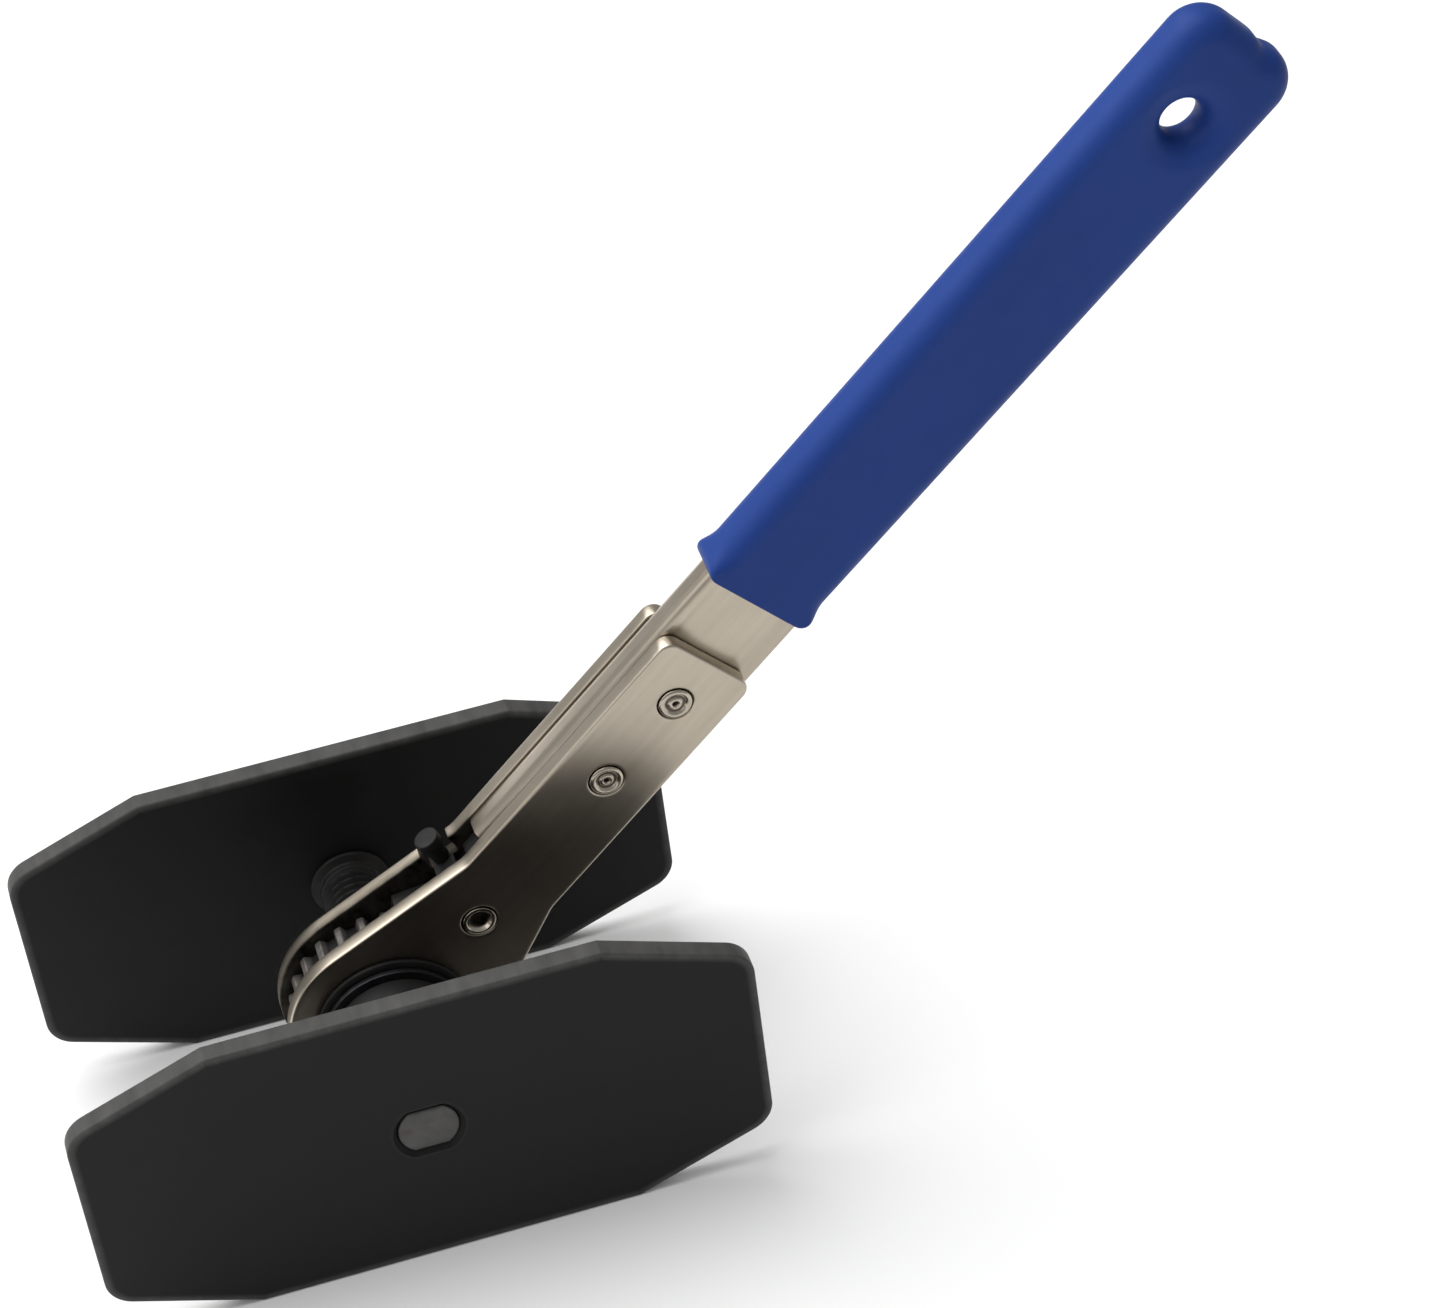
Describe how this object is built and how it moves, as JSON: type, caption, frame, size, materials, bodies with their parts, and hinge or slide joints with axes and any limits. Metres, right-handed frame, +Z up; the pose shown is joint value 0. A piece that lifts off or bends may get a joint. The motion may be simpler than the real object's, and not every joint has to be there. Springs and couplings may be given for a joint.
{
  "type": "ratcheting piston press",
  "caption": "Hand press with two parallel plates on opposed screws, driven apart or together by a ratchet head on a flat handle with a dipped grip.",
  "frame": {"origin": "middle of the front plate's lower long edge, at half the plate's thickness; the tool stands on its plates' lower edges", "axes": "+X along the plates towards the handle's side, +Y along the screws' axis from the front plate to the back plate, +Z up"},
  "size_m": [0.2718, 0.0829, 0.2236],
  "materials": {
    "blackened_plate": "fine matt black over rolled plate, greyer on the cut edges",
    "oiled_black_steel": "oiled black oxide",
    "satin_nickel": "warm satin nickel plate on stamped steel",
    "rivet_nickel": "nickel plate with dark staining in the set heads",
    "spring_steel": "blued spring steel",
    "blue_vinyl": "satin dipped vinyl"
  },
  "bodies": {
    "front_press": {"front_plate": "blackened_plate", "front_screw": "oiled_black_steel"},
    "back_press": {"back_plate": "blackened_plate", "back_screw": "oiled_black_steel"},
    "hub_washers": {"front_hub_washer": "oiled_black_steel", "back_hub_washer": "oiled_black_steel"},
    "gear": {"ratchet_gear": "oiled_black_steel", "front_retaining_ring": "spring_steel", "back_retaining_ring": "spring_steel"},
    "handle": {"front_cheek": "satin_nickel", "back_cheek": "satin_nickel", "handle_channel": "satin_nickel", "handle_grip": "blue_vinyl", "upper_rivet": "rivet_nickel", "lower_rivet": "rivet_nickel", "upper_rivet_spacer": "rivet_nickel", "lower_rivet_spacer": "rivet_nickel", "pawl_pin": "rivet_nickel", "detent_housing": "oiled_black_steel", "detent_spring": "spring_steel"},
    "selector": {"pawl": "oiled_black_steel", "selector_knob": "oiled_black_steel"},
    "detent": {"detent_plunger": "spring_steel"}
  },
  "joints": [
    {"name": "head_slide", "type": "slide", "parent": "front_press", "child": "hub_washers", "axis": [0, 1, 0], "range_m": [-0.0174, 0.0016]},
    {"name": "gear_spin", "type": "hinge", "parent": "hub_washers", "child": "gear", "pos_m": [0, 0.03925, 0.0348], "axis": [0, 1, 0], "range_deg": [-271, 3121]},
    {"name": "handle_swing", "type": "hinge", "parent": "hub_washers", "child": "handle", "pos_m": [0, 0.03925, 0.0348], "axis": [0, 1, 0], "continuous": true},
    {"name": "back_slide", "type": "slide", "parent": "front_press", "child": "back_press", "axis": [0, 1, 0], "range_m": [-0.03467, 0.003]},
    {"name": "selector_tilt", "type": "hinge", "parent": "handle", "child": "selector", "pos_m": [0.02124, 0.03925, 0.05454], "axis": [0, 1, 0], "range_deg": [-5, 5]},
    {"name": "detent_slide", "type": "slide", "parent": "handle", "child": "detent", "axis": [0.7325, 0, 0.6807], "range_m": [-0.0002, 0.0008], "stiffness_N_per_m": 400}
  ],
  "couplings": [
    {"joint": "head_slide", "follows": "back_slide", "ratio": 0.5},
    {"joint": "gear_spin", "follows": "back_slide", "rad_per_m": -1570.8}
  ]
}
